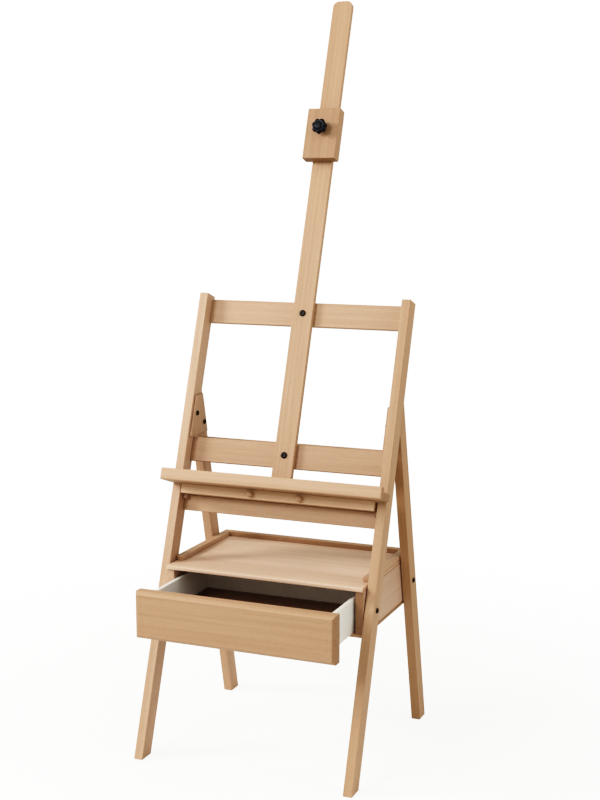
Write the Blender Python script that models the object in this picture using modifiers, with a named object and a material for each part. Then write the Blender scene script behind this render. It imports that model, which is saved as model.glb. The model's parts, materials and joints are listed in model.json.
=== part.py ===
"""Floor-standing studio easel with a storage cabinet, a pencil drawer and a sliding top clamp.

Metres, +Z up, the front of the easel faces -Y.  Three working frames are used, each an empty:
  easel        level frame, y = 0 where the front faces of the front legs meet the floor
  front_frame  leans back with the front legs: z runs up the leg, y runs back from its front face
  back_frame   leans forward with the back legs: z runs up the leg, y runs back from its front face
"""
import math

import bmesh
import bpy
from mathutils import Vector

# ---------------------------------------------------------------- driving dimensions (metres)
GAP = 0.0003                    # clearance left between pieces that touch
ORIGIN_TO_FRONT_FOOT = 0.3158   # the origin is in the middle of the outline, the front feet before it

OUTER_WIDTH = 0.560             # over the outer faces of the legs
LEG_WIDTH = 0.0225              # leg section, seen from the front
LEG_DEPTH = 0.042               # leg section, seen from the side
FRONT_LEAN = math.radians(19.2)
BACK_LEAN = math.radians(13.3)
FRONT_LEG_LENGTH = 1.160
BACK_FOOT_Y = 0.500             # front face of the back legs at the floor

RAIL_THICKNESS = 0.0125         # cross rails, flush with the backs of the front legs
SUPPORT_RAIL = (0.611, 0.6490)  # stretch up the front legs, under the pencil drawer
LOWER_MAST_RAIL = (0.735, 0.795)
UPPER_MAST_RAIL = (1.090, 1.150)
BACK_LEG_RAIL = (0.700, 0.745)  # stretch up the back legs

MAST_WIDTH = 0.0526
MAST_THICKNESS = 0.013
MAST_FRONT = 0.0163             # behind the front faces of the legs
MAST_SPAN = (0.700, 1.942)
MAST_TOP_RADIUS = 0.016

LEDGE_LENGTH = 0.572
LEDGE_BOTTOM = 0.673            # up the front legs
SHELF_THICKNESS = 0.018
SHELF_DEPTH = 0.045
LIP_HEIGHT = 0.029
LIP_THICKNESS = 0.017

CABINET_FRONT = 0.135
CABINET_BACK = 0.470
CABINET_BOTTOM = 0.329
CABINET_TOP = 0.449             # upper face of the tray board
CABINET_SIDE_GAP = 0.002        # washer space between a leg and the cabinet
SIDE_THICKNESS = 0.020
BOTTOM_THICKNESS = 0.009
TRAY_THICKNESS = 0.010
TRAY_NOSE = 0.004               # overhang of the tray board before the cabinet
BACK_THICKNESS = 0.009
RIM_HEIGHT = 0.0115
RIM_WIDTH = 0.020
RIM_FRONT = 0.185

DRAWER_OPENING = 0.139          # how far the drawer stands open in this pose
DRAWER_FRONT_WIDTH = 0.502
DRAWER_FRONT_THICKNESS = 0.030
DRAWER_FRONT_Z = (0.3165, 0.4300)  # finger room above it when closed
DRAWER_FRONT_CHAMFER = 0.0075
DRAWER_BOX_WIDTH = 0.460
DRAWER_BOX_LENGTH = 0.300
DRAWER_BOX_HEIGHT = 0.081
DRAWER_WALL = 0.010
DRAWER_FLOOR = 0.004
DRAWER_FLOOR_RAISE = 0.013      # floor panel above the lower edges of the sides

PENCIL_FRONT_WIDTH = 0.506
PENCIL_FRONT_THICKNESS = 0.012     # behind the front faces of the legs
PENCIL_FRONT_PROUD = 0.006         # before them, under the ledge
PENCIL_BOTTOM = 0.6495          # lower edge of the pencil drawer's front, up the legs
PENCIL_BOX_WIDTH = 0.505
PENCIL_BOX_LENGTH = 0.0735
PENCIL_WALL = 0.008
PENCIL_FLOOR = 0.004
PENCIL_KNOB_SPACING = 0.1285
PENCIL_KNOB_RADIUS = 0.0078
RUNNER_WIDTH = 0.012
RUNNER_HEIGHT = 0.0112
RUNNER_FRONT = 0.016            # behind the front faces of the legs
STOP_HEIGHT = 0.0375
STOP_THICKNESS = 0.008

CLAMP_WIDTH = 0.0874
CLAMP_SPAN = (1.510, 1.6414)    # up the mast, in this pose
CLAMP_FRONT = -0.0137           # stands out before the front faces of the legs
CLAMP_CHEEK_INSET = 0.0082      # the cheeks and the back plate are a little narrower
CLAMP_PLATE = 0.0066
STAR_KNOB_HEIGHT = 1.587        # up the mast
STAR_KNOB_RADIUS = 0.0195
STAR_KNOB_LENGTH = 0.028
STAR_KNOB_LOBES = 7

BOLT_HEIGHT = 0.392             # cabinet bolts above the floor
BOLT_RADIUS = 0.003
BOLT_CLEARANCE = 0.0004
HEAD_RADIUS = 0.0062
HEAD_HEIGHT = 0.0034
WASHER_RADIUS = 0.009
GUSSET_THICKNESS = 0.006
GUSSET_Z = (0.745, 0.845)
GUSSET_MARGIN = 0.008

INNER_X = OUTER_WIDTH / 2 - LEG_WIDTH
LEG_CENTRE_X = OUTER_WIDTH / 2 - LEG_WIDTH / 2
CABINET_X = INNER_X - CABINET_SIDE_GAP

# ---------------------------------------------------------------- scene, collections, materials
for old in list(bpy.data.objects):
    bpy.data.objects.remove(old, do_unlink=True)

easel_parts = bpy.data.collections.new("studio_easel")
cutters = bpy.data.collections.new("cutters")
bpy.context.scene.collection.children.link(easel_parts)
bpy.context.scene.collection.children.link(cutters)


def make_material(name, colour, roughness, metallic=0.0):
    material = bpy.data.materials.new(name)
    material.use_nodes = True
    shader = material.node_tree.nodes["Principled BSDF"]
    shader.inputs["Base Color"].default_value = (*colour, 1.0)
    shader.inputs["Roughness"].default_value = roughness
    shader.inputs["Metallic"].default_value = metallic
    return material


BEECH = make_material("beech", (0.62, 0.40, 0.23), 0.45)
PAINT = make_material("white_paint", (0.74, 0.75, 0.70), 0.5)
HARDBOARD = make_material("hardboard", (0.10, 0.05, 0.03), 0.6)
BLACK_PLASTIC = make_material("black_plastic", (0.012, 0.013, 0.018), 0.35)
BLACK_STEEL = make_material("black_steel", (0.03, 0.028, 0.026), 0.4, 0.9)
BRASS = make_material("brass", (0.62, 0.44, 0.18), 0.3, 1.0)


def make_frame(name, parent=None, location=(0, 0, 0), lean=0.0):
    frame = bpy.data.objects.new(name, None)
    frame.parent = parent
    frame.location = location
    frame.rotation_euler = (lean, 0, 0)
    easel_parts.objects.link(frame)
    return frame


EASEL = make_frame("easel", location=(0, -ORIGIN_TO_FRONT_FOOT, 0))
FRONT = make_frame("front_frame", EASEL, lean=-FRONT_LEAN)
BACK = make_frame("back_frame", EASEL, (0, BACK_FOOT_Y, 0), BACK_LEAN)


# ---------------------------------------------------------------- shape helpers
def place(name, mesh, parent, material, location, collection=easel_parts):
    piece = bpy.data.objects.new(name, mesh)
    piece.parent = parent
    piece.location = location
    if material:
        mesh.materials.append(material)
    collection.objects.link(piece)
    return piece


def board(name, low, high, parent, material=BEECH, edge=0.0012, segments=2):
    """A rectangular board between two corners of its parent's frame, with eased edges."""
    low, high = Vector(low), Vector(high)
    shape = bmesh.new()
    bmesh.ops.create_cube(shape, size=1.0)
    bmesh.ops.scale(shape, vec=high - low, verts=shape.verts)
    mesh = bpy.data.meshes.new(name)
    shape.to_mesh(mesh)
    shape.free()
    piece = place(name, mesh, parent, material, (low + high) / 2)
    if edge:
        ease = piece.modifiers.new("eased_edges", "BEVEL")
        ease.width = edge
        ease.segments = segments
        ease.limit_method = "ANGLE"
    return piece


def slope_end(piece, top, slope):
    """Cut one end of an upright board on a slope, keeping its front edge where it is."""
    front = min(vertex.co.y for vertex in piece.data.vertices)
    for vertex in piece.data.vertices:
        if (vertex.co.z > 0) == top:
            vertex.co.z += slope * (vertex.co.y - front)


def shape_edges(piece, chosen, size, segments):
    """Round or chamfer the edges of a board that the given test picks."""
    shape = bmesh.new()
    shape.from_mesh(piece.data)
    edges = [edge for edge in shape.edges if chosen(edge.verts[0].co, edge.verts[1].co)]
    bmesh.ops.bevel(shape, geom=edges, offset=size, segments=segments, profile=0.5,
                    affect="EDGES")
    shape.to_mesh(piece.data)
    shape.free()


def at_top_corner(start, end):
    """True on the two upper edges that run from the front of a board to its back."""
    return start.z > 0 and end.z > 0 and abs(start.x - end.x) < 1e-6


def round_the_face(start, end):
    """True on the four edges round the front face of a board."""
    return start.y < 0 and end.y < 0


def turned(name, profile, parent, material, location, axis, steps=20, closed=False,
           collection=easel_parts):
    """A turned piece: (radius, height) points down its outer side, spun about the given axis."""
    mesh = bpy.data.meshes.new(name)
    points = [(radius, 0, height) for radius, height in profile]
    edges = [(i, i + 1) for i in range(len(points) - 1)]
    if closed:
        edges.append((len(points) - 1, 0))
    mesh.from_pydata(points, edges, [])
    piece = place(name, mesh, parent, material, location, collection)
    piece.rotation_mode = "QUATERNION"
    piece.rotation_quaternion = Vector((0, 0, 1)).rotation_difference(Vector(axis))
    spin = piece.modifiers.new("spin", "SCREW")
    spin.steps = spin.render_steps = steps
    spin.use_merge_vertices = True
    spin.merge_threshold = 0.00001
    return piece


def bore(name, pieces, parent, start, axis, length, radius):
    """Drill one straight hole through or into the given pieces."""
    profile = [(0, length), (radius, length), (radius, 0), (0, 0)]
    drill = turned(name, profile, parent, None, start, axis, 20, collection=cutters)
    drill.display_type = "WIRE"
    drill.hide_render = True
    for piece in pieces:
        cut = piece.modifiers.new(name, "BOOLEAN")
        cut.operation = "DIFFERENCE"
        cut.object = drill


def notch(name, piece, parent, low, high):
    """Cut a box-shaped notch out of a board."""
    block = board(name, low, high, parent, None, edge=0)
    easel_parts.objects.unlink(block)
    cutters.objects.link(block)
    block.display_type = "WIRE"
    block.hide_render = True
    cut = piece.modifiers.new(name, "BOOLEAN")
    cut.operation = "DIFFERENCE"
    cut.object = block


def bolt(name, parent, head_face, axis, shank_length, head_radius=HEAD_RADIUS):
    """A round-headed bolt: its head sits on head_face, its shank runs against the axis."""
    dome = [(head_radius * math.sin(turn), HEAD_HEIGHT * (0.45 + 0.55 * math.cos(turn)))
            for turn in (math.pi / 2 * step / 4 for step in range(5))]
    profile = dome + [(head_radius, GAP), (BOLT_RADIUS, GAP), (BOLT_RADIUS, -shank_length),
                      (0, -shank_length)]
    return turned(name, profile, parent, BLACK_STEEL, head_face, axis, 16)


# ---------------------------------------------------------------- A-frame: legs and rails
legs = {}
for side, sign in (("left", -1), ("right", 1)):
    x_low, x_high = sorted((sign * INNER_X, sign * OUTER_WIDTH / 2))
    front_leg = board("front_leg_" + side, (x_low, 0, 0), (x_high, LEG_DEPTH, FRONT_LEG_LENGTH),
                      FRONT)
    slope_end(front_leg, False, math.tan(FRONT_LEAN))

    # The back leg ends on the slanting back face of the front leg.
    apex_angle = FRONT_LEAN + BACK_LEAN
    meeting_z = ((BACK_FOOT_Y - (LEG_DEPTH + GAP) / math.cos(FRONT_LEAN))
                 / (math.tan(FRONT_LEAN) + math.tan(BACK_LEAN)))
    back_leg = board("back_leg_" + side, (x_low, 0, 0),
                     (x_high, LEG_DEPTH, meeting_z / math.cos(BACK_LEAN)), BACK)
    slope_end(back_leg, False, -math.tan(BACK_LEAN))
    slope_end(back_leg, True, 1 / math.tan(apex_angle))
    legs[side] = (front_leg, back_leg)

rail_x = INNER_X - GAP
rail_back = LEG_DEPTH
rail_front = rail_back - RAIL_THICKNESS
rails = {}
for name, (low, high) in (("drawer_support_rail", SUPPORT_RAIL),
                          ("lower_mast_rail", LOWER_MAST_RAIL),
                          ("upper_mast_rail", UPPER_MAST_RAIL)):
    rails[name] = board(name, (-rail_x, rail_front, low), (rail_x, rail_back, high), FRONT)
back_rail_y = (LEG_DEPTH - RAIL_THICKNESS) / 2
board("back_leg_rail", (-rail_x, back_rail_y, BACK_LEG_RAIL[0]),
      (rail_x, back_rail_y + RAIL_THICKNESS, BACK_LEG_RAIL[1]), BACK)


def front_leg_y(z):
    """Front face of the front legs at a height, in the level frame."""
    return z * math.tan(FRONT_LEAN)


def back_leg_y(z):
    """Front face of the back legs at a height, in the level frame."""
    return BACK_FOOT_Y - z * math.tan(BACK_LEAN)


front_depth = LEG_DEPTH / math.cos(FRONT_LEAN)
back_depth = LEG_DEPTH / math.cos(BACK_LEAN)

# Wooden gussets on the inner faces tie each back leg to its front leg.
for side, sign in (("left", -1), ("right", 1)):
    outer, inner = INNER_X - GAP, INNER_X - GAP - GUSSET_THICKNESS
    x_low, x_high = sorted((sign * outer, sign * inner))
    gusset = board("gusset_" + side, (x_low, 0, GUSSET_Z[0]), (x_high, 1, GUSSET_Z[1]), EASEL)
    gusset.location.y = 0
    for vertex in gusset.data.vertices:
        z = GUSSET_Z[1] if vertex.co.z > 0 else GUSSET_Z[0]
        if vertex.co.y < 0:
            vertex.co.y = front_leg_y(z) + GUSSET_MARGIN
        else:
            vertex.co.y = back_leg_y(z) + back_depth - GUSSET_MARGIN
    screw_places = (("front", 0, front_leg_y(0.800) + front_depth / 2, 0.800),
                    ("back", 1, back_leg_y(0.772) + back_depth / 2, 0.772))
    for place_name, leg_index, y, z in screw_places:
        head_face = (sign * inner, y, z)
        name = f"gusset_screw_{place_name}_{side}"
        bolt(name, EASEL, head_face, (-sign, 0, 0), GUSSET_THICKNESS + 0.016)
        hole_start = (sign * (inner - 0.001), y, z)
        bore(name + "_hole", (gusset, legs[side][leg_index]), EASEL, hole_start, (sign, 0, 0),
             GUSSET_THICKNESS + 0.018, BOLT_RADIUS + BOLT_CLEARANCE)

# ---------------------------------------------------------------- mast
mast = board("mast_bar", (-MAST_WIDTH / 2, MAST_FRONT, MAST_SPAN[0]),
             (MAST_WIDTH / 2, MAST_FRONT + MAST_THICKNESS, MAST_SPAN[1]), FRONT)
shape_edges(mast, at_top_corner, MAST_TOP_RADIUS, 8)
for name, rail, (low, high) in (("mast_bolt_lower", "lower_mast_rail", LOWER_MAST_RAIL),
                                ("mast_bolt_upper", "upper_mast_rail", UPPER_MAST_RAIL)):
    height = (low + high) / 2
    bolt(name, FRONT, (0, MAST_FRONT, height), (0, -1, 0), MAST_THICKNESS + 0.010, 0.008)
    bore(name + "_hole", (mast, rails[rail]), FRONT, (0, MAST_FRONT - 0.002, height), (0, 1, 0),
         MAST_THICKNESS + 0.0135, BOLT_RADIUS + BOLT_CLEARANCE)

# ---------------------------------------------------------------- canvas ledge
shelf_top = LEDGE_BOTTOM + SHELF_THICKNESS
shelf = board("ledge_shelf", (-LEDGE_LENGTH / 2, -SHELF_DEPTH, LEDGE_BOTTOM),
              (LEDGE_LENGTH / 2, -GAP, shelf_top), FRONT)
board("ledge_lip", (-LEDGE_LENGTH / 2, -SHELF_DEPTH - GAP - LIP_THICKNESS, LEDGE_BOTTOM),
      (LEDGE_LENGTH / 2, -SHELF_DEPTH - GAP, LEDGE_BOTTOM + LIP_HEIGHT), FRONT, edge=0.003,
      segments=3)
for side, sign in (("left", -1), ("right", 1)):
    height = LEDGE_BOTTOM + SHELF_THICKNESS / 2
    x = sign * LEG_CENTRE_X
    bolt("ledge_bolt_" + side, FRONT, (x, LEG_DEPTH, height), (0, 1, 0), LEG_DEPTH + 0.024)
    bore("ledge_bolt_hole_" + side, (legs[side][0], shelf), FRONT, (x, LEG_DEPTH + 0.002, height),
         (0, -1, 0), LEG_DEPTH + 0.028, BOLT_RADIUS + BOLT_CLEARANCE)

# ---------------------------------------------------------------- cabinet and tray
tray_underside = CABINET_TOP - TRAY_THICKNESS
bottom_top = CABINET_BOTTOM + BOTTOM_THICKNESS
board("cabinet_bottom", (-CABINET_X, CABINET_FRONT, CABINET_BOTTOM),
      (CABINET_X, CABINET_BACK, bottom_top), EASEL)
board("tray_board", (-CABINET_X, CABINET_FRONT - TRAY_NOSE, tray_underside),
      (CABINET_X, CABINET_BACK, CABINET_TOP), EASEL, edge=0.003, segments=3)
side_z = (bottom_top + GAP, tray_underside - GAP)
cabinet_sides = {}
for side, sign in (("left", -1), ("right", 1)):
    x_low, x_high = sorted((sign * CABINET_X, sign * (CABINET_X - SIDE_THICKNESS)))
    cabinet_sides[side] = board("cabinet_side_" + side, (x_low, CABINET_FRONT, side_z[0]),
                                (x_high, CABINET_BACK, side_z[1]), EASEL)
inside_x = CABINET_X - SIDE_THICKNESS
board("cabinet_back", (-inside_x + GAP, CABINET_BACK - BACK_THICKNESS, side_z[0]),
      (inside_x - GAP, CABINET_BACK, side_z[1]), EASEL)

rim_low = CABINET_TOP + GAP
rim_high = CABINET_TOP + RIM_HEIGHT
back_rim_front = CABINET_BACK - RIM_WIDTH
board("tray_rim_back", (-CABINET_X, back_rim_front, rim_low), (CABINET_X, CABINET_BACK, rim_high),
      EASEL)
for side, sign in (("left", -1), ("right", 1)):
    x_low, x_high = sorted((sign * CABINET_X, sign * (CABINET_X - RIM_WIDTH)))
    board("tray_rim_" + side, (x_low, RIM_FRONT, rim_low),
          (x_high, back_rim_front - GAP, rim_high), EASEL)

# One bolt through each leg into the side of the cabinet, with a washer between them.
for side, sign in (("left", -1), ("right", 1)):
    for end, leg_index, y in (("front", 0, front_leg_y(BOLT_HEIGHT) + front_depth / 2),
                              ("back", 1, back_leg_y(BOLT_HEIGHT) + back_depth / 2)):
        name = f"cabinet_bolt_{end}_{side}"
        head_face = (sign * OUTER_WIDTH / 2, y, BOLT_HEIGHT)
        reach = LEG_WIDTH + CABINET_SIDE_GAP + SIDE_THICKNESS * 0.8
        bolt(name, EASEL, head_face, (sign, 0, 0), reach)
        bore(name + "_hole", (legs[side][leg_index], cabinet_sides[side]), EASEL,
             (sign * (OUTER_WIDTH / 2 + 0.002), y, BOLT_HEIGHT), (-sign, 0, 0), reach + 0.0025,
             BOLT_RADIUS + BOLT_CLEARANCE)
        hole = BOLT_RADIUS + BOLT_CLEARANCE
        thickness = CABINET_SIDE_GAP - 2 * GAP
        ring = [(WASHER_RADIUS, thickness), (WASHER_RADIUS, 0), (hole, 0), (hole, thickness)]
        turned(f"cabinet_washer_{end}_{side}", ring, EASEL, BLACK_STEEL,
               (sign * (CABINET_X + GAP), y, BOLT_HEIGHT), (sign, 0, 0), closed=True)

# ---------------------------------------------------------------- main drawer (slides along Y)
DRAWER = make_frame("drawer_slide", EASEL, (0, CABINET_FRONT - DRAWER_OPENING, 0))
panel_low, panel_high = DRAWER_FRONT_Z
front_half = DRAWER_FRONT_WIDTH / 2
drawer_front = board("drawer_front", (-front_half, -GAP - DRAWER_FRONT_THICKNESS, panel_low),
                     (front_half, -GAP, panel_high), DRAWER)
shape_edges(drawer_front, round_the_face, DRAWER_FRONT_CHAMFER, 1)
box_low = bottom_top + GAP
box_high = box_low + DRAWER_BOX_HEIGHT
box_half = DRAWER_BOX_WIDTH / 2
for side, sign in (("left", -1), ("right", 1)):
    x_low, x_high = sorted((sign * box_half, sign * (box_half - DRAWER_WALL)))
    board("drawer_side_" + side, (x_low, 0, box_low), (x_high, DRAWER_BOX_LENGTH, box_high),
          DRAWER, PAINT)
clear_half = box_half - DRAWER_WALL - GAP
board("drawer_back", (-clear_half, DRAWER_BOX_LENGTH - DRAWER_WALL, box_low),
      (clear_half, DRAWER_BOX_LENGTH, box_high), DRAWER, PAINT)
floor_low = box_low + DRAWER_FLOOR_RAISE
board("drawer_bottom", (-clear_half, 0, floor_low),
      (clear_half, DRAWER_BOX_LENGTH - DRAWER_WALL - GAP, floor_low + DRAWER_FLOOR), DRAWER,
      HARDBOARD, edge=0)

# ---------------------------------------------------------------- pencil drawer (slides out of the legs' plane)
PENCIL = make_frame("pencil_slide", FRONT)
pencil_top = LEDGE_BOTTOM - GAP
pencil_half = PENCIL_FRONT_WIDTH / 2
board("pencil_drawer_front", (-pencil_half, -PENCIL_FRONT_PROUD, PENCIL_BOTTOM),
      (pencil_half, PENCIL_FRONT_THICKNESS, pencil_top), PENCIL, edge=0.0008)
pencil_box_front = PENCIL_FRONT_THICKNESS + GAP
pencil_box_back = pencil_box_front + PENCIL_BOX_LENGTH
pencil_floor_top = PENCIL_BOTTOM + PENCIL_FLOOR
pencil_box_half = PENCIL_BOX_WIDTH / 2
board("pencil_drawer_bottom", (-pencil_box_half, pencil_box_front, PENCIL_BOTTOM),
      (pencil_box_half, pencil_box_back, pencil_floor_top), PENCIL, edge=0)
wall_low = pencil_floor_top + GAP
wall_high = pencil_top - 0.001
for side, sign in (("left", -1), ("right", 1)):
    x_low, x_high = sorted((sign * pencil_box_half, sign * (pencil_box_half - PENCIL_WALL)))
    board("pencil_drawer_side_" + side, (x_low, pencil_box_front, wall_low),
          (x_high, pencil_box_back, wall_high), PENCIL, edge=0.0008)
pencil_clear_half = pencil_box_half - PENCIL_WALL - GAP
board("pencil_drawer_back", (-pencil_clear_half, pencil_box_back - PENCIL_WALL, wall_low),
      (pencil_clear_half, pencil_box_back, wall_high), PENCIL, edge=0.0008)

knob_height = (PENCIL_BOTTOM + pencil_top) / 2 - 0.001
knob_profile = [(0, 1.0), (0.42, 0.98), (0.78, 0.88), (0.97, 0.70), (1.0, 0.55), (0.90, 0.38),
                (0.62, 0.24), (0.56, 0.12), (0.66, 0.0), (0, 0.0)]
knob_length = 0.016
for side, sign in (("left", -1), ("right", 1)):
    profile = [(radius * PENCIL_KNOB_RADIUS, height * knob_length)
               for radius, height in knob_profile]
    turned("pencil_knob_" + side, profile, PENCIL, BEECH,
           (sign * PENCIL_KNOB_SPACING / 2, -PENCIL_FRONT_PROUD - GAP, knob_height), (0, -1, 0), 24)

# Runners notched into the rail carry the drawer; a strip across their back ends stops it.
runner_top = PENCIL_BOTTOM - GAP
stop_front = pencil_box_back + GAP
board("pencil_drawer_stop", (-rail_x, stop_front, PENCIL_BOTTOM),
      (rail_x, stop_front + STOP_THICKNESS, PENCIL_BOTTOM + STOP_HEIGHT), FRONT, edge=0.0008)
for side, sign in (("left", -1), ("right", 1)):
    x_low, x_high = sorted((sign * rail_x, sign * (rail_x - RUNNER_WIDTH)))
    low = (x_low, RUNNER_FRONT, runner_top - RUNNER_HEIGHT)
    high = (x_high, stop_front + STOP_THICKNESS, runner_top)
    board("pencil_runner_" + side, low, high, FRONT, edge=0.0008)
    margin = Vector((GAP, 0.002, GAP))
    notch("runner_notch_" + side, rails["drawer_support_rail"], FRONT, Vector(low) - margin,
          Vector(high) + margin + Vector((0, 0, 0.005)))

# ---------------------------------------------------------------- top clamp (slides up the mast)
CLAMP = make_frame("clamp_slide", FRONT)
clamp_back = MAST_FRONT - GAP
clamp_low, clamp_high = CLAMP_SPAN
block = board("clamp_block", (-CLAMP_WIDTH / 2, CLAMP_FRONT, clamp_low),
              (CLAMP_WIDTH / 2, clamp_back, clamp_high), CLAMP, edge=0.002)
cheek_outer = CLAMP_WIDTH / 2 - CLAMP_CHEEK_INSET
cheek_inner = MAST_WIDTH / 2 + 2 * GAP
cheek_back = MAST_FRONT + MAST_THICKNESS + GAP
cheek_low, cheek_high = clamp_low + CLAMP_CHEEK_INSET, clamp_high - CLAMP_CHEEK_INSET
for side, sign in (("left", -1), ("right", 1)):
    x_low, x_high = sorted((sign * cheek_outer, sign * cheek_inner))
    board("clamp_cheek_" + side, (x_low, MAST_FRONT, cheek_low), (x_high, cheek_back, cheek_high),
          CLAMP)
board("clamp_back_plate", (-cheek_outer, cheek_back + GAP, cheek_low),
      (cheek_outer, cheek_back + GAP + CLAMP_PLATE, cheek_high), CLAMP)

# A brass insert in the block takes the screw of the star knob.
insert_outer, insert_inner = 0.0062, 0.0044
screw_radius = 0.0040
insert_length = 0.018
bore("insert_seat", (block,), CLAMP, (0, clamp_back + 0.002, STAR_KNOB_HEIGHT), (0, -1, 0),
     clamp_back - CLAMP_FRONT + 0.004, insert_outer + GAP)
ring = [(insert_outer, insert_length), (insert_outer, 0), (insert_inner, 0),
        (insert_inner, insert_length)]
turned("clamp_insert", ring, CLAMP, BRASS, (0, clamp_back - GAP, STAR_KNOB_HEIGHT), (0, -1, 0), 24,
       closed=True)

# ---------------------------------------------------------------- star knob (turns about its screw)
KNOB = make_frame("knob_turn", CLAMP, (0, CLAMP_FRONT, STAR_KNOB_HEIGHT))
screw_length = clamp_back - CLAMP_FRONT - 2 * GAP
turned("clamp_screw", [(0, 0), (screw_radius, 0), (screw_radius, -screw_length),
                       (0, -screw_length)],
       KNOB, BLACK_STEEL, (0, 0, 0), (0, -1, 0), 20)


def star_knob():
    """Round hub that widens into a lobed head: rings of points, each a share of the lobe depth."""
    steps = STAR_KNOB_LOBES * 8
    hub = 0.46
    rings = [(hub * 0.96, 0.0, GAP / STAR_KNOB_LENGTH), (hub, 0.0, 0.06), (hub, 0.0, 0.33),
             (0.90, 0.6, 0.37), (0.99, 1.0, 0.46), (1.0, 1.0, 0.64), (0.97, 1.0, 0.79),
             (0.88, 0.9, 0.90), (0.68, 0.5, 0.965), (0.40, 0.1, 1.0)]
    shape = bmesh.new()
    loops = []
    for radius, lobe_share, height in rings:
        loop = []
        for step in range(steps):
            angle = 2 * math.pi * step / steps
            lobe = 1 - lobe_share * 0.085 * (1 - math.cos(STAR_KNOB_LOBES * angle)) / 2
            reach = STAR_KNOB_RADIUS * radius * lobe
            loop.append(shape.verts.new((reach * math.cos(angle), reach * math.sin(angle),
                                         height * STAR_KNOB_LENGTH)))
        loops.append(loop)
    for lower, upper in zip(loops, loops[1:]):
        for i in range(steps):
            j = (i + 1) % steps
            shape.faces.new((lower[i], lower[j], upper[j], upper[i]))
    shape.faces.new(reversed(loops[0]))
    shape.faces.new(loops[-1])
    mesh = bpy.data.meshes.new("star_knob")
    shape.to_mesh(mesh)
    shape.free()
    knob = place("star_knob", mesh, KNOB, BLACK_PLASTIC, (0, 0, 0))
    knob.rotation_euler = (math.pi / 2, 0, 0)


star_knob()

# ---------------------------------------------------------------- smooth shading on the round pieces
for piece in easel_parts.objects:
    if piece.type == "MESH":
        piece.data.shade_smooth()
        piece.data.set_sharp_from_angle(angle=math.radians(35))
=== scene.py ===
"""Looks for the studio easel: procedural beech, paint, hardboard, moulded plastic and steel,
finer turned and moulded pieces in place of the plain CAD ones, a studio and the camera."""
import json
import math
import random

import bmesh
import bpy
from mathutils import Matrix, Vector


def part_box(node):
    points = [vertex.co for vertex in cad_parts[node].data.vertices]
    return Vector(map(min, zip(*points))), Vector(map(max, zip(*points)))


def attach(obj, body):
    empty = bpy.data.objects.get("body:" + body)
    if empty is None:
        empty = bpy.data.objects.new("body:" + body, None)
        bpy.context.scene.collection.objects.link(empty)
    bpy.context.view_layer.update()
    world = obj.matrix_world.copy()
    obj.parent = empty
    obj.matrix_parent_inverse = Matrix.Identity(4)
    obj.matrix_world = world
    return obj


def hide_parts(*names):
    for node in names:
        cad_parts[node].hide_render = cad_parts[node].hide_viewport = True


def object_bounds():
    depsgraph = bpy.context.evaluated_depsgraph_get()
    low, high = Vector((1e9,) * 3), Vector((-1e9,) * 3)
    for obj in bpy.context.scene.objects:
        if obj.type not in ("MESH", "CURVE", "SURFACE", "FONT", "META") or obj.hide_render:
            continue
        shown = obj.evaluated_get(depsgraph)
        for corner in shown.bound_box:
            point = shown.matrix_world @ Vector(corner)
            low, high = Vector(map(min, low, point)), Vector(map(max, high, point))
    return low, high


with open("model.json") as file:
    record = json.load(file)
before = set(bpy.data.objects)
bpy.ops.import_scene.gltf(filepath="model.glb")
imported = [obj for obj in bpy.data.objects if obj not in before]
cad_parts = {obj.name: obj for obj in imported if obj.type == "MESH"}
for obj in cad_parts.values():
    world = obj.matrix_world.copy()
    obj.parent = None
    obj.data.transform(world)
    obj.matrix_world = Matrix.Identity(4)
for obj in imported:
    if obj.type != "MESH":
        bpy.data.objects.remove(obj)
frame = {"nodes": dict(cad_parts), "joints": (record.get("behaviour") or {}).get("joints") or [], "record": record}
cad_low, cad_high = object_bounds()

nodes = frame["nodes"]
joints = {joint["name"]: joint for joint in frame["joints"]}

# ---------------------------------------------------------------- directions
UP = Vector((0, 0, 1))
RIGHT = Vector((1, 0, 0))
BACKWARD = Vector((0, 1, 0))
MAST = Vector(joints["top_clamp_slide"]["axis"]).normalized()      # up the front legs
PROUD = Vector(joints["star_knob_turn"]["axis"]).normalized()      # out of the front legs' plane
BACK_LEAN = math.radians(13.3)
BACK_LEG = Vector((0, -math.sin(BACK_LEAN), math.cos(BACK_LEAN)))  # up the back legs
BACK_FACE = Vector((0, math.cos(BACK_LEAN), math.sin(BACK_LEAN)))  # out of the backs of them


# ---------------------------------------------------------------- node helpers
def with_alpha(value):
    """A colour of three channels as the four that a socket takes, and anything else as it is."""
    return (*value, 1.0) if isinstance(value, tuple) and len(value) == 3 else value


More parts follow.
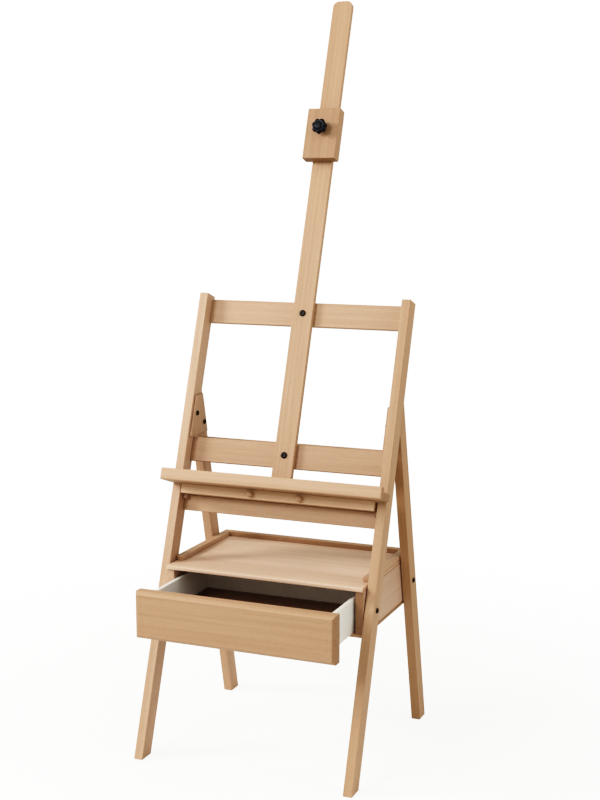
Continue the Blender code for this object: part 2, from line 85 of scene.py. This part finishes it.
class Shader:
    """A material under construction: adds nodes, joins them and returns output sockets."""

    def __init__(self, name):
        self.material = bpy.data.materials.new(name)
        self.material.use_nodes = True
        self.tree = self.material.node_tree
        self.principled = self.tree.nodes["Principled BSDF"]

    def node(self, kind, inputs=None, **settings):
        """A new node with its settings, and with values or links for its inputs."""
        made = self.tree.nodes.new(kind)
        for key, value in settings.items():
            setattr(made, key, value)
        for key, value in (inputs or {}).items():
            self.feed(made.inputs[key], value)
        return made

    def feed(self, socket, value):
        if isinstance(value, bpy.types.NodeSocket):
            self.tree.links.new(value, socket)
        else:
            socket.default_value = with_alpha(value) if socket.type == "RGBA" else value

    def set(self, name, value):
        self.feed(self.principled.inputs[name], value)

    def stretch(self, vector, scale, location=(0, 0, 0), rotation=(0, 0, 0)):
        made = self.node("ShaderNodeMapping", {"Vector": vector, "Scale": scale,
                                               "Location": location, "Rotation": rotation})
        return made.outputs["Vector"]

    def noise(self, vector, scale=1.0, detail=3.0, roughness=0.5):
        made = self.node("ShaderNodeTexNoise", {"Vector": vector, "Scale": scale,
                                                "Detail": detail, "Roughness": roughness})
        return made.outputs["Fac"]

    def remap(self, value, low, high, to_low=0.0, to_high=1.0, smooth=False):
        made = self.node("ShaderNodeMapRange",
                         {"Value": value, "From Min": low, "From Max": high,
                          "To Min": to_low, "To Max": to_high},
                         clamp=True, interpolation_type="SMOOTHSTEP" if smooth else "LINEAR")
        return made.outputs["Result"]

    def math(self, operation, a, b=0.0):
        return self.node("ShaderNodeMath", {0: a, 1: b}, operation=operation).outputs[0]

    def blend(self, factor, a, b, mode="MIX"):
        made = self.node("ShaderNodeMix", data_type="RGBA", blend_type=mode)
        self.feed(made.inputs["Factor"], factor)
        self.feed(made.inputs[6], a)
        self.feed(made.inputs[7], b)
        return made.outputs[2]

    def bump(self, height, distance, strength):
        made = self.node("ShaderNodeBump", {"Height": height, "Distance": distance,
                                            "Strength": strength})
        return made.outputs["Normal"]

    def object_space(self):
        return self.node("ShaderNodeTexCoord").outputs["Object"]


# ---------------------------------------------------------------- beech
BEECH = (0.542, 0.363, 0.250)            # lacquered, between the growth rings
LATE_WOOD = (0.80, 0.745, 0.68)          # what the darkest grain multiplies it by
RAY_FLECK = (0.50, 0.40, 0.33)           # what a fleck multiplies it by
END_PORES = (0.62, 0.53, 0.44)           # end grain at its darkest
END_WOOD = (0.80, 0.73, 0.66)            # and at its lightest
RING_SPACING = 0.0034
STAVE_WIDTH = 0.085
STAVE_JUMP = (3.0, 0.24, 0.0)            # how far apart in the tree two staves may lie


def tinted(colour, tint):
    return tuple(channel * share for channel, share in zip(colour, tint))


def board_space(shader, grain, face):
    """Coordinates that run along the grain, across it and out of the board's broad face."""
    normal = (face - grain * grain.dot(face)).normalized()
    across = normal.cross(grain).normalized()
    turn = Matrix((grain, across, normal)).to_euler()
    return shader.stretch(shader.object_space(), (1, 1, 1), rotation=turn)


def glued_staves(shader, board, start):
    """Give each glued stave its own piece of tree. Returns its coordinates and its shade."""
    parts = shader.node("ShaderNodeSeparateXYZ", {0: board})
    stave = shader.math("FLOOR", shader.math("DIVIDE", parts.outputs[1], STAVE_WIDTH))
    jump = shader.node("ShaderNodeTexWhiteNoise", noise_dimensions="1D")
    shader.feed(jump.inputs["W"], shader.math("ADD", stave, start))
    moved = shader.node("ShaderNodeVectorMath", {0: jump.outputs["Color"], 1: STAVE_JUMP, 2: board},
                        operation="MULTIPLY_ADD")
    shade = shader.remap(jump.outputs["Value"], 0, 1, -0.5, 0.5)
    return moved.outputs[0], shader.math("MULTIPLY", shade, 0.40)


def growth_rings(shader, board, luck, start, spacing):
    """Rings about a pith well outside the board, a little out of line with it."""
    heart = luck.uniform(0.045, 0.10) * luck.choice((-1, 1)), luck.uniform(0.03, 0.08)
    lean = math.radians(luck.uniform(0.5, 1.4)) * luck.choice((-1, 1))
    tilted = shader.stretch(board, (0.055, 1, 1), (start, *heart), (0, lean * 0.6, lean))
    rings = shader.node("ShaderNodeTexWave",
                        {"Vector": tilted, "Scale": math.tau / 20 / spacing, "Distortion": 3.2,
                         "Detail": 2.0, "Detail Scale": 0.16, "Detail Roughness": 0.55},
                        wave_type="RINGS", rings_direction="X", wave_profile="SAW")
    return rings.outputs["Fac"]


def end_grain(shader, board, grain, colour, end_shade):
    """Darken the faces that the grain runs out of, because they drink the lacquer. end_shade scales this, and on
    some boards and the turned knobs it also paints light and shade onto those faces.
    """
    normal = shader.node("ShaderNodeTexCoord").outputs["Normal"]
    facing = shader.node("ShaderNodeVectorMath", {0: normal, 1: grain}, operation="DOT_PRODUCT")
    is_end = shader.remap(shader.math("ABSOLUTE", facing.outputs["Value"]), 0.45, 0.8, smooth=True)
    speckle = shader.noise(board, 1400.0, 2.0, 0.6)
    dark, light = (tuple(1 - end_shade * (1 - channel) for channel in tint)
                   for tint in (END_PORES, END_WOOD))
    tint = shader.blend(shader.remap(speckle, 0.35, 0.65), dark, light)
    return shader.blend(is_end, colour, shader.blend(1.0, colour, tint, "MULTIPLY"))


def beech(name, along, face, tone=0.0, warmth=0.0, ring_spacing=RING_SPACING, glued=False,
          end_shade=1.0):
    """Lacquered beech whose grain runs along one direction and whose broad face looks another way.

    tone lightens or darkens a board, warmth pushes it to pink or to yellow, glued makes it of
    staves, end_shade sets how dark its end grain is. On some boards tone and end_shade also paint
    light and shade onto the wood."""
    luck = random.Random(name)
    shader = Shader("beech_" + name)
    grain = Vector(along).normalized()
    board = board_space(shader, grain, face)
    offset = tuple(luck.uniform(2, 9) for _ in range(3))
    if glued:
        board, stave_shade = glued_staves(shader, board, offset[0])
    rings = growth_rings(shader, board, luck, offset[0], ring_spacing)
    long_tone = shader.noise(shader.stretch(board, (1.1, 11, 11), offset), detail=2.0)
    bands = shader.noise(shader.stretch(board, (1.3, 95, 95), offset), detail=2.0)
    streaks = shader.noise(shader.stretch(board, (5, 210, 210), offset), roughness=0.6)
    pores = shader.noise(shader.stretch(board, (45, 2600, 2600)), detail=2.0)
    rays = shader.noise(shader.stretch(board, (320, 1500, 1500), offset), detail=1.0, roughness=0.4)
    fleck = shader.remap(rays, 0.63, 0.70, smooth=True)

    # Every layer adds to how dark the wood is.
    amount = shader.math("MULTIPLY", shader.remap(rings, 0.15, 1.0), 0.30)
    for layer, low, high, least, most in (
            (long_tone, 0.34, 0.68, 0.0, 0.30), (bands, 0.38, 0.66, -0.10, 0.22),
            (streaks, 0.35, 0.70, 0.0, 0.26), (pores, 0.50, 0.75, 0.0, 0.16)):
        amount = shader.math("ADD", amount, shader.remap(layer, low, high, least, most))
    if glued:
        amount = shader.math("ADD", amount, stave_shade)
    light = (BEECH[0] + tone, BEECH[1] + tone * 0.9 - warmth * 0.4, BEECH[2] + tone * 0.8 - warmth)
    colour = shader.blend(shader.remap(amount, 0.0, 1.0), light, tinted(light, LATE_WOOD))
    colour = shader.blend(shader.math("MULTIPLY", fleck, 0.55), colour, tinted(light, RAY_FLECK))
    shader.set("Base Color", end_grain(shader, board, grain, colour, end_shade))

    shader.set("Roughness", shader.remap(streaks, 0.3, 0.7, 0.44, 0.56))
    shader.set("Specular IOR Level", 0.42)
    shader.set("Coat Weight", 0.10)
    shader.set("Coat Roughness", 0.32)
    relief = shader.math("SUBTRACT", shader.math("MULTIPLY", streaks, 0.5),
                         shader.math("MULTIPLY", pores, 0.35))
    relief = shader.math("SUBTRACT", relief, shader.math("MULTIPLY", fleck, 0.25))
    shader.set("Normal", shader.bump(relief, 0.00012, 0.55))
    return shader.material


def dress(names, make):
    """Put a material of its own on each named CAD node."""
    for name in names:
        mesh = nodes[name].data
        mesh.materials.clear()
        mesh.materials.append(make(name))


def pair(stem):
    return [stem + "_left", stem + "_right"]


BOARDS = [
    # nodes, grain, broad face, tone, warmth; on the boards marked below the tone is also painted light and shade
    (["front_leg_left"], MAST, RIGHT, 0.06, -0.012),
    (["front_leg_right"], MAST, RIGHT, 0.00, 0.01),
    (["back_leg_left"], BACK_LEG, RIGHT, 0.02, 0.0),
    # back_leg_right's tone is painted shade: the leg is drawn darker than the other legs because its front face
    # looks down, away from the lamps.
    (["back_leg_right"], BACK_LEG, RIGHT, -0.045, 0.025),
    (["drawer_support_rail"], RIGHT, PROUD, 0.02, 0.01),
    (["lower_mast_rail", "upper_mast_rail"], RIGHT, PROUD, 0.0, 0.0),
    (["back_leg_rail"], RIGHT, BACK_FACE, 0.0, 0.0),
    (["mast_bar"], MAST, PROUD, 0.01, 0.005),
    (["ledge_shelf"], RIGHT, MAST, 0.0, 0.0),
    (["ledge_lip"], RIGHT, PROUD, 0.05, 0.0),
    (["cabinet_bottom"], RIGHT, UP, -0.02, 0.02),
    # tray_board's tone of 0.26 is painted light: its top is drawn much paler than the same beech of the cabinet
    # bottom because it faces the lamps above.
    (["tray_board"], RIGHT, UP, 0.26, -0.045),
    # The cabinet sides' tones are painted light and shade: the left side is drawn lighter than the right because
    # more light falls on it from the left.
    (["cabinet_side_left"], BACKWARD, RIGHT, 0.10, -0.03),
    (["cabinet_side_right"], BACKWARD, RIGHT, 0.045, -0.045),
    (["cabinet_back"], RIGHT, BACKWARD, 0.0, 0.0),
    (["tray_rim_back"], RIGHT, UP, -0.01, 0.01),
    (pair("tray_rim"), BACKWARD, UP, 0.02, 0.0),
    (["drawer_front"], RIGHT, BACKWARD, 0.0, 0.0),
    # pencil_drawer_front's tone of 0.17 is painted light: the front is drawn lighter than the rest of the pencil
    # drawer to cancel the ledge's shadow on it.
    (["pencil_drawer_front"], RIGHT, PROUD, 0.17, 0.035),
    (["pencil_drawer_bottom"], RIGHT, MAST, 0.02, 0.0),
    (pair("pencil_drawer_side"), PROUD, RIGHT, 0.02, 0.0),
    (["pencil_drawer_back"], RIGHT, PROUD, 0.02, 0.0),
    (pair("pencil_runner"), PROUD, RIGHT, 0.0, 0.0),
    (["pencil_drawer_stop"], RIGHT, PROUD, 0.0, 0.0),
    (["clamp_block"], MAST, PROUD, -0.055, 0.0),
    (pair("clamp_cheek"), MAST, RIGHT, 0.0, 0.0),
    (["clamp_back_plate"], MAST, PROUD, 0.0, 0.0),
    (pair("gusset"), BACK_LEG, RIGHT, -0.02, 0.0),
]
GLUED_BOARDS = {"cabinet_bottom", "tray_board"}
# How dark each board's end grain is drawn. The cabinet sides' values are painted light and shade: the left side's
# front edge is drawn with almost no end-grain darkening because light falls on it, the right side's darker than
# plain end grain because it lies in shade.
END_SHADES_AND_PAINTED_LIGHT = {"cabinet_side_left": 0.15, "cabinet_side_right": 1.35,
              "tray_rim_left": 0.8, "tray_rim_right": 0.3}
for names, along, face, tone, warmth in BOARDS:
    dress(names, lambda name: beech(name, along, face, tone, warmth, glued=name in GLUED_BOARDS,
                                    end_shade=END_SHADES_AND_PAINTED_LIGHT.get(name, 1.0)))


# ---------------------------------------------------------------- paint, hardboard, plastic, metal
def white_paint(name):
    shader = Shader("paint_" + name)
    place = shader.object_space()
    brush = shader.noise(shader.stretch(place, (90, 26, 420)), roughness=0.6)
    blotch = shader.noise(place, 14.0, 3.0, 0.6)
    grime = shader.noise(place, 60.0, 4.0, 0.65)
    clean, yellowed, dirt = (0.835, 0.830, 0.815), (0.790, 0.785, 0.765), (0.50, 0.46, 0.38)
    colour = shader.blend(shader.remap(blotch, 0.3, 0.7), clean, yellowed)
    colour = shader.blend(shader.remap(grime, 0.62, 0.82, 0.0, 0.35), colour, dirt)
    shader.set("Base Color", colour)
    shader.set("Roughness", shader.remap(brush, 0.3, 0.7, 0.40, 0.54))
    shader.set("Normal", shader.bump(brush, 0.00010, 0.6))
    return shader.material


def hardboard(name):
    shader = Shader("hardboard_" + name)
    place = shader.object_space()
    fibre = shader.noise(shader.stretch(place, (420, 700, 700)), detail=4.0, roughness=0.7)
    mottle = shader.noise(place, 22.0, 4.0, 0.6)
    dark, light, pale_fibre = (0.206, 0.115, 0.069), (0.244, 0.139, 0.085), (0.34, 0.215, 0.135)
    colour = shader.blend(shader.remap(mottle, 0.3, 0.7), dark, light)
    colour = shader.blend(shader.remap(fibre, 0.5, 0.75, 0.0, 0.5), colour, pale_fibre)
    shader.set("Base Color", colour)
    shader.set("Roughness", shader.remap(mottle, 0.3, 0.7, 0.42, 0.58))
    shader.set("Normal", shader.bump(fibre, 0.00012, 0.5))
    return shader.material


def black_plastic(name):
    shader = Shader("plastic_" + name)
    place = shader.object_space()
    spark = shader.noise(place, 2600.0, 2.0)
    scuff = shader.noise(shader.stretch(place, (300, 900, 300)), detail=4.0, roughness=0.7)
    black, rubbed = (0.0040, 0.0050, 0.0140), (0.013, 0.015, 0.028)
    shader.set("Base Color", shader.blend(shader.remap(scuff, 0.60, 0.80, 0.0, 0.6), black, rubbed))
    shader.set("Roughness", shader.remap(scuff, 0.35, 0.75, 0.34, 0.52))
    shader.set("Specular IOR Level", 0.36)
    shader.set("Normal", shader.bump(spark, 0.00006, 0.35))
    return shader.material


def black_steel(name):
    shader = Shader("steel_" + name)
    place = shader.object_space()
    wear = shader.noise(place, 420.0, 4.0, 0.7)
    fine = shader.noise(place, 3000.0, 2.0)
    oxide, worn = (0.030, 0.027, 0.025), (0.13, 0.12, 0.11)
    shader.set("Base Color", shader.blend(shader.remap(wear, 0.58, 0.74), oxide, worn))
    shader.set("Metallic", 0.85)
    shader.set("Roughness", shader.remap(wear, 0.35, 0.75, 0.34, 0.52))
    shader.set("Normal", shader.bump(fine, 0.00004, 0.4))
    return shader.material


def brass(name):
    shader = Shader("brass_" + name)
    tarnish = shader.noise(shader.object_space(), 300.0, 4.0, 0.6)
    bright, dull = (0.72, 0.52, 0.24), (0.40, 0.27, 0.12)
    shader.set("Base Color", shader.blend(shader.remap(tarnish, 0.45, 0.75), bright, dull))
    shader.set("Metallic", 1.0)
    shader.set("Roughness", shader.remap(tarnish, 0.3, 0.7, 0.24, 0.42))
    return shader.material


dress(["drawer_side_left", "drawer_side_right", "drawer_back"], white_paint)
dress(["drawer_bottom"], hardboard)
dress(["clamp_insert"], brass)
dress([name for name in nodes if name.startswith(("cabinet_washer", "clamp_screw"))], black_steel)


# ---------------------------------------------------------------- finer pieces
def as_object(name, shape, material, body, replaced):
    mesh = bpy.data.meshes.new(name)
    shape.normal_update()
    shape.to_mesh(mesh)
    shape.free()
    mesh.materials.append(material)
    mesh.shade_smooth()
    mesh.set_sharp_from_angle(angle=math.radians(40))
    made = bpy.data.objects.new(name, mesh)
    bpy.context.scene.collection.objects.link(made)
    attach(made, body)
    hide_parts(replaced)
    return made


def frame_of(origin, axis, aside):
    """A matrix whose Z runs along an axis and whose X leans towards aside, placed at an origin."""
    x = (aside - axis * axis.dot(aside)).normalized()
    return Matrix.Translation(origin) @ Matrix((x, axis.cross(x), axis)).transposed().to_4x4()


def turned(rings, steps):
    """A closed form through (reach, height) rings, from one pole to the other.

    reach is a radius, or a function that gives the radius at an angle. A reach of 0 is a pole."""
    shape = bmesh.new()
    loops = []
    for reach, height in rings:
        loop = []
        for i in range(steps if reach else 1):
            angle = math.tau * i / steps
            radius = reach(angle) if callable(reach) else reach
            loop.append(shape.verts.new((radius * math.cos(angle), radius * math.sin(angle),
                                         height)))
        loops.append(loop)
    for one, two in zip(loops, loops[1:]):
        for i in range(steps):
            j = (i + 1) % steps
            corners = list(dict.fromkeys([one[i % len(one)], one[j % len(one)],
                                          two[j % len(two)], two[i % len(two)]]))
            if len(corners) > 2:
                shape.faces.new(corners)
    bmesh.ops.recalc_face_normals(shape, faces=shape.faces)
    return shape


def curve_through(points, per_step):
    """Catmull-Rom points through a profile, so a turned form has no flats."""
    done = []
    padded = [points[0], *points, points[-1]]
    for a, b, c, d in zip(padded, padded[1:], padded[2:], padded[3:]):
        for i in range(per_step):
            t = i / per_step
            done.append(tuple(
                0.5 * (2 * q + (r - p) * t + (2 * p - 5 * q + 4 * r - s) * t * t
                       + (3 * q - p - 3 * r + s) * t ** 3)
                for p, q, r, s in zip(a, b, c, d)))
    done.append(points[-1])
    return [(max(radius, 0.0), height) for radius, height in done]


# ---- star knob
STAR_RADIUS, STAR_HEIGHT = 0.0195, 0.028
STAR_LOBES = 7
STAR_TURN = math.pi / 14                 # one lobe points straight down
STAR_DEPTH = 0.165                       # of a hollow between lobes, as a share of the radius
STAR_RINGS = [
    # share of the radius, how far it follows the lobes, share of the height
    (0.00, 0.0, 0.012), (0.42, 0.0, 0.012), (0.455, 0.0, 0.04), (0.46, 0.0, 0.305),
    (0.48, 0.0, 0.35), (0.60, 0.15, 0.375), (0.84, 0.7, 0.40), (0.94, 0.95, 0.435),
    (0.985, 1.0, 0.487), (1.0, 1.0, 0.565), (1.0, 1.0, 0.652), (0.988, 1.0, 0.748),
    (0.955, 1.0, 0.826), (0.90, 0.95, 0.883), (0.82, 0.8, 0.917), (0.72, 0.5, 0.93),
    (0.62, 0.2, 0.922), (0.56, 0.05, 0.904), (0.52, 0.0, 0.904), (0.49, 0.0, 0.926),
    (0.46, 0.0, 0.965), (0.40, 0.0, 0.987), (0.25, 0.0, 0.996), (0.0, 0.0, 1.0)]


def lobed(share, lobing):
    """The radius at an angle of one ring of the star knob."""
    def radius(angle):
        wave = (1 - math.cos(STAR_LOBES * (angle - STAR_TURN))) / 2
        return STAR_RADIUS * share * (1 - STAR_DEPTH * lobing * wave ** 1.5)
    return radius


def star_knob():
    """Seven-lobed knob: scalloped rim, dished face with a raised ring, and a collar below."""
    rings = [(lobed(share, lobing) if share else 0, height * STAR_HEIGHT)
             for share, lobing, height in STAR_RINGS]
    shape = turned(rings, 168)
    shape.transform(frame_of(Vector(joints["star_knob_turn"]["pos_m"]), PROUD, RIGHT))
    as_object("star_knob_moulding", shape, black_plastic("knob"), "star_knob",
              "star_knob")


star_knob()

# ---- pencil drawer knobs
TURNED_LENGTH = 0.016
TURNED_OUTLINE = [                       # radius and height from the collar to the dome's top
    (0.0048, 0.0), (0.0051, 0.0004), (0.0049, 0.0012), (0.0043, 0.0022), (0.0044, 0.0034),
    (0.0055, 0.0050), (0.0070, 0.0068), (0.0078, 0.0088), (0.0077, 0.0106), (0.0068, 0.0128),
    (0.0053, 0.0146), (0.0030, 0.0157), (0.0, TURNED_LENGTH)]
TURNED_RING_SPACING = 0.0022


def turned_knob(side):
    """A small turned beech knob: collar, waist and domed head."""
    node = "pencil_knob_" + side
    low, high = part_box(node)
    foot = (Vector(low) + Vector(high)) / 2 - PROUD * TURNED_LENGTH / 2
    shape = turned([(0, 0), *curve_through(TURNED_OUTLINE, 4)], 64)
    shape.transform(frame_of(foot, PROUD, RIGHT))
    # The knob's tone of 0.13 and end_shade of 0.35 draw it paler than beech end grain: partly the knob's own paler
    # colour, partly a painted highlight on its dome.
    material = beech("knob_" + side, PROUD, RIGHT, 0.13, 0.0, TURNED_RING_SPACING, end_shade=0.35)
    as_object("turned_knob_" + side, shape, material, "pencil_drawer", node)


for side in ("left", "right"):
    turned_knob(side)

# ---- bolts and screws
BOLT_HEAD_RADIUS = 0.0062
MAST_BOLT_HEAD_RADIUS = 0.008
HEAD_HEIGHT = 0.0034
HEAD_RELIEF = 0.0003                     # how far the underside of a head stands off its board
SHANK_RADIUS = 0.003
TIP_CHAMFER = 0.0008
DOME_STEPS = 8


def hexed(reach, amount):
    """The radius at an angle of something between a circle and a hexagon of that reach."""
    def radius(angle):
        six = math.cos(math.pi / 6) / math.cos(angle % (math.pi / 3) - math.pi / 6)
        return reach * ((1 - amount) + amount * six)
    return radius


def socket_bolt(head_radius, shank_length):
    """A domed socket-head bolt: hexagonal recess, rounded rim, plain shank with a chamfer."""
    hexagon = head_radius * 0.42
    rim = hexagon * 1.25
    rings = [(0, HEAD_HEIGHT * 0.38), (hexed(hexagon * 0.96, 1.0), HEAD_HEIGHT * 0.40),
             (hexed(hexagon, 1.0), HEAD_HEIGHT * 0.46), (hexed(hexagon, 1.0), HEAD_HEIGHT * 0.93),
             (hexed(hexagon * 1.08, 0.8), HEAD_HEIGHT * 0.985), (hexed(rim, 0.2), HEAD_HEIGHT)]
    for i in range(1, DOME_STEPS + 1):
        turn = math.pi / 2 * i / DOME_STEPS
        rings.append((rim + (head_radius - rim) * math.sin(turn),
                      HEAD_HEIGHT * (0.42 + 0.58 * math.cos(turn))))
    rings += [(head_radius, HEAD_HEIGHT * 0.30), (head_radius * 0.97, HEAD_RELIEF),
              (SHANK_RADIUS, HEAD_RELIEF), (SHANK_RADIUS, TIP_CHAMFER - shank_length),
              (SHANK_RADIUS * 0.72, -shank_length), (0, -shank_length)]
    return turned(rings, 48)


def body_of(node):
    return next(body for body, members in frame["record"]["behaviour"]["bodies"].items()
                if node in members)


def finish_bolt(node, axis, head_radius=BOLT_HEAD_RADIUS):
    """Replace one CAD bolt by a detailed one in the same place, measured from the CAD mesh."""
    corners = [vertex.co for vertex in nodes[node].data.vertices]
    reach = [corner.dot(axis) for corner in corners]
    # The middle of the box isn't on the axis of a leaning bolt, so its vertices are averaged.
    centre_line = sum((corner - axis * corner.dot(axis) for corner in corners),
                      Vector((0, 0, 0))) / len(corners)
    head_face = max(reach) - HEAD_HEIGHT
    shape = socket_bolt(head_radius, head_face - min(reach))
    shape.transform(frame_of(centre_line + axis * head_face, axis, UP))
    as_object(node + "_finished", shape, black_steel(node), body_of(node), node)


for side, outward in (("left", -RIGHT), ("right", RIGHT)):
    for end in ("front", "back"):
        finish_bolt(f"cabinet_bolt_{end}_{side}", outward)
        finish_bolt(f"gusset_screw_{end}_{side}", -outward)
    finish_bolt("ledge_bolt_" + side, -PROUD)
for end in ("lower", "upper"):
    finish_bolt("mast_bolt_" + end, PROUD, MAST_BOLT_HEAD_RADIUS)


# ---------------------------------------------------------------- studio
FLOOR_RADIUS = 3.0
FLOOR_DROP = 0.0005                      # how far the floor lies below the feet
FLOOR_GLOW = 0.80                        # how far the camera sees it as paper lit from behind
FLOOR_FADE = (0.45, 1.9)                 # distances between which it goes over into the backdrop
AMBIENT_COLOUR = (1.0, 0.975, 0.835)
AMBIENT_STRENGTH = 0.47


def floor_material():
    """White paper lit from behind, which fades into the backdrop away from the object."""
    shader = Shader("studio_floor")
    place = shader.object_space()
    shader.set("Base Color", shader.blend(shader.noise(place, 1.5, 2.0), (0.89, 0.89, 0.89),
                                          (0.91, 0.91, 0.91)))
    shader.set("Roughness", 0.75)
    shader.set("Specular IOR Level", 0.1)
    rays = shader.node("ShaderNodeLightPath")
    glowing = shader.math("MULTIPLY", rays.outputs["Is Camera Ray"], FLOOR_GLOW)
    lit = shader.node("ShaderNodeMixShader", {0: glowing, 1: shader.principled.outputs[0],
                                              2: shader.node("ShaderNodeEmission").outputs[0]})
    distance = shader.node("ShaderNodeVectorMath", {0: place}, operation="LENGTH")
    faded = shader.remap(distance.outputs["Value"], *FLOOR_FADE, smooth=True)
    clear = shader.node("ShaderNodeBsdfTransparent")
    fading = shader.node("ShaderNodeMixShader", {0: faded, 1: lit.outputs[0], 2: clear.outputs[0]})
    shader.feed(shader.tree.nodes["Material Output"].inputs["Surface"], fading.outputs[0])
    return shader.material


def studio_floor():
    mesh = bpy.data.meshes.new("studio_floor")
    shape = bmesh.new()
    bmesh.ops.create_circle(shape, cap_ends=True, radius=FLOOR_RADIUS, segments=96)
    shape.to_mesh(mesh)
    shape.free()
    mesh.materials.append(floor_material())
    floor = bpy.data.objects.new("studio_floor", mesh)
    bpy.context.scene.collection.objects.link(floor)
    floor.location.z = cad_low.z - FLOOR_DROP


def studio_world():
    """A backdrop that is plain white to the camera and a softer, warmer light to the object."""
    world = bpy.data.worlds.new("studio_world")
    bpy.context.scene.world = world
    world.use_nodes = True
    tree = world.node_tree
    ambient = tree.nodes["Background"]
    ambient.inputs["Color"].default_value = (*AMBIENT_COLOUR, 1)
    ambient.inputs["Strength"].default_value = AMBIENT_STRENGTH
    backdrop = tree.nodes.new("ShaderNodeBackground")
    backdrop.inputs["Color"].default_value = (1, 1, 1, 1)
    backdrop.inputs["Strength"].default_value = 1.0
    rays = tree.nodes.new("ShaderNodeLightPath")
    choice = tree.nodes.new("ShaderNodeMixShader")
    tree.links.new(rays.outputs["Is Camera Ray"], choice.inputs[0])
    tree.links.new(ambient.outputs[0], choice.inputs[1])
    tree.links.new(backdrop.outputs[0], choice.inputs[2])
    tree.links.new(choice.outputs[0], tree.nodes["World Output"].inputs["Surface"])


def area_light(name, position, target, side, watts):
    """A square lamp with sides of that length, turned towards a target."""
    data = bpy.data.lights.new(name, "AREA")
    data.shape = "RECTANGLE"
    data.size = data.size_y = side
    data.energy = watts
    lamp = bpy.data.objects.new(name, data)
    bpy.context.scene.collection.objects.link(lamp)
    lamp.location = position
    lamp.rotation_mode = "QUATERNION"
    lamp.rotation_quaternion = (Vector(target) - Vector(position)).to_track_quat("-Z", "Y")


studio_floor()
studio_world()
area_light("key", (-3.6, -1.6, 2.8), (0, 0, 0.8), 1.2, 91)
area_light("front_left", (-2.0, -4.2, 3.4), (0, 0, 0.8), 1.5, 70)
area_light("right_fill", (4.0, -0.8, 1.9), (0, 0, 0.7), 2.2, 17)
area_light("right_top", (2.6, 0.2, 2.5), (0, 0.2, 1.6), 0.8, 13)

# ---------------------------------------------------------------- contrast
CONTRAST_POWER, CONTRAST_SHOULDER = 1.712, 0.322


def tone_curve(x):
    """The contrast of a product photograph: deep shadows, soft highlights, 1 stays 1."""
    raised = x ** CONTRAST_POWER
    return (1 + CONTRAST_SHOULDER) * raised / (raised + CONTRAST_SHOULDER)


view = bpy.context.scene.view_settings
view.view_transform = "Standard"
view.use_curve_mapping = True
all_channels = view.curve_mapping.curves[3]
for level in (0.04, 0.10, 0.20, 0.35, 0.50, 0.70):
    all_channels.points.new(level, tone_curve(level))
view.curve_mapping.update()

# ---------------------------------------------------------------- camera
FRONT_FOOT_Y = -0.3158                # where the front faces of the front legs meet the floor
CAMERA_FROM_FOOT = Vector((1.3052, -2.7572, 1.3715))
CAMERA_TURN, CAMERA_DIP = math.radians(22.67), math.radians(8.95)

camera_data = bpy.data.cameras.new("camera")
camera_data.sensor_width = 36.0
camera_data.lens = 62.25
camera_data.clip_start, camera_data.clip_end = 0.05, 200
camera = bpy.data.objects.new("camera", camera_data)
bpy.context.scene.collection.objects.link(camera)
camera.location = CAMERA_FROM_FOOT + BACKWARD * FRONT_FOOT_Y
camera.rotation_euler = (math.pi / 2 - CAMERA_DIP, 0, CAMERA_TURN)
bpy.context.scene.camera = camera
